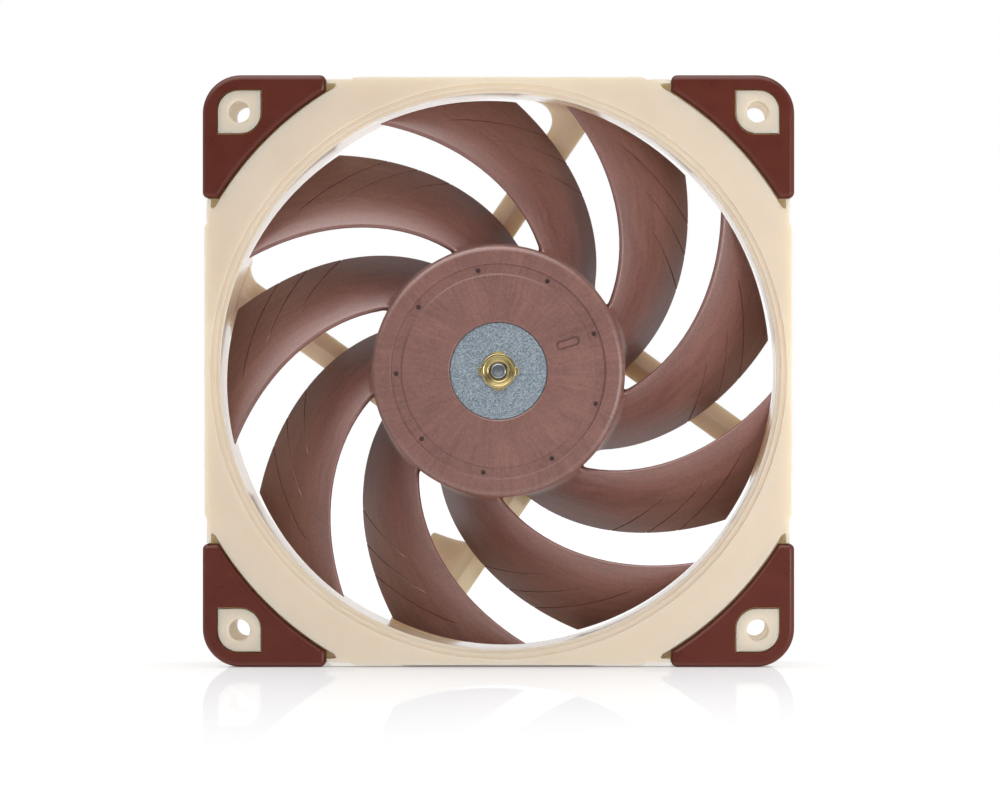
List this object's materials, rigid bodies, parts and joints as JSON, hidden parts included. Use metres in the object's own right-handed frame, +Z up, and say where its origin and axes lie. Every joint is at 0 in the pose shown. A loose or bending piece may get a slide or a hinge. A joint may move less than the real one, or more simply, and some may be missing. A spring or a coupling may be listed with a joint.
{
  "type": "case fan",
  "caption": "Square axial case fan with swept blades on a turning hub, rear struts, soft corner pads and screw holes at the corners.",
  "frame": {"origin": "centre of the fan: on the spin axis, at mid depth", "axes": "+Z up; +Y along the air stream, from the intake face to the outlet face; the hub's face looks to -Y"},
  "size_m": [0.12, 0.025, 0.12],
  "materials": {
    "beige_plastic": "fine satin moulded plastic",
    "brown_rubber": "matt silicone, lighter along the rounded edges",
    "brown_plastic": "satin glass-filled plastic with swirling flow lines",
    "galvanised_steel": "fine blue-grey zinc speckle",
    "bright_steel": "ground bright steel",
    "brass": "turned brass with fine rings",
    "bronze": "sintered bronze",
    "magnet": "matt black bonded ferrite",
    "laminations": "stacked sheet steel",
    "copper_wire": "enamelled copper windings",
    "nylon": "natural nylon",
    "board": "green solder mask",
    "black_plastic": "moulded chip body",
    "black_rubber": "oil-proof rubber",
    "label_foil": "blank satin foil"
  },
  "bodies": {
    "housing": {"frame": "beige_plastic", "front_pad_top_right": "brown_rubber", "front_pad_top_left": "brown_rubber", "front_pad_bottom_left": "brown_rubber", "front_pad_bottom_right": "brown_rubber", "rear_pad_top_right": "brown_rubber", "rear_pad_top_left": "brown_rubber", "rear_pad_bottom_left": "brown_rubber", "rear_pad_bottom_right": "brown_rubber", "bearing_tube": "brass", "sleeve_bearing": "bronze", "oil_seal": "black_rubber", "thrust_pad": "nylon", "tube_end_cap": "brass", "stator_core": "laminations", "insulator_front": "nylon", "insulator_rear": "nylon", "coil_1": "copper_wire", "coil_2": "copper_wire", "coil_3": "copper_wire", "coil_4": "copper_wire", "winding_pin_1": "bright_steel", "winding_pin_2": "bright_steel", "winding_pin_3": "bright_steel", "winding_pin_4": "bright_steel", "circuit_board": "board", "driver_chip": "black_plastic", "hall_sensor": "black_plastic", "capacitor": "nylon", "resistor": "black_plastic", "rear_label": "label_foil"},
    "rotor": {"impeller": "brown_plastic", "rotor_cup": "galvanised_steel", "magnet_ring": "magnet", "hub_bush": "brass", "shaft": "bright_steel", "retaining_clip": "bright_steel"}
  },
  "joints": [
    {"name": "rotor_spin", "type": "hinge", "parent": "housing", "child": "rotor", "pos_m": [0, 0, 0], "axis": [0, -1, 0], "continuous": true}
  ]
}
